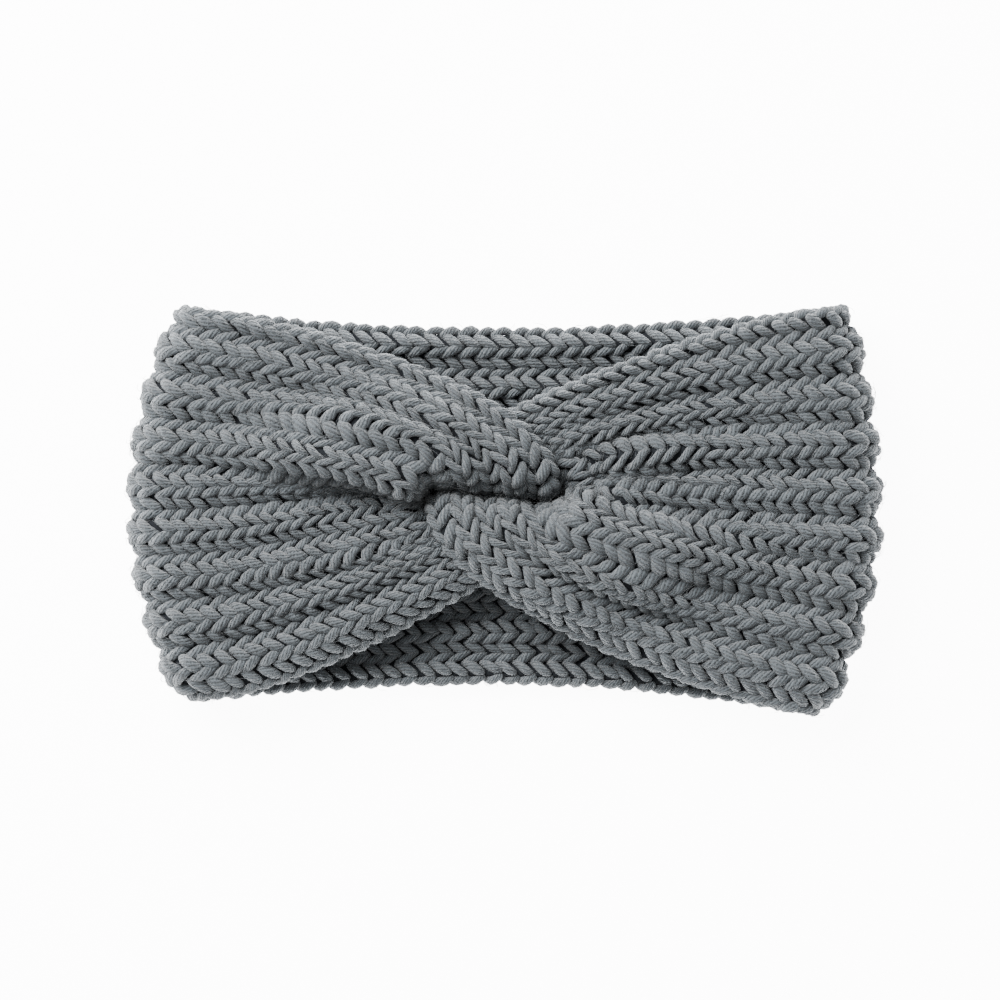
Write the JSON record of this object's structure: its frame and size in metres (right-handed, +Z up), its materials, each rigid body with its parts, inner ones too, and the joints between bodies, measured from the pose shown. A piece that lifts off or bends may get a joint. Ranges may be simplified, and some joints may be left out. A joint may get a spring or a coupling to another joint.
{
  "type": "ear warmer headband",
  "caption": "Wide ribbed knit ear warmer headband with a crossed twist at the front, lying on its back; a flat loop, open through its width for the head.",
  "frame": {"origin": "on the surface that the band lies on, under the middle of its box", "axes": "+X from the left round end to the right one as seen from above, +Y across the band towards its upper edge, +Z up, out of the side with the twist"},
  "size_m": [0.225, 0.1234, 0.0288],
  "materials": {
    "knit_yarn": "chunky plied yarn, matt, slate grey, slightly fuzzy"
  },
  "bodies": {
    "root": {"knit_band": "knit_yarn"}
  },
  "joints": []
}
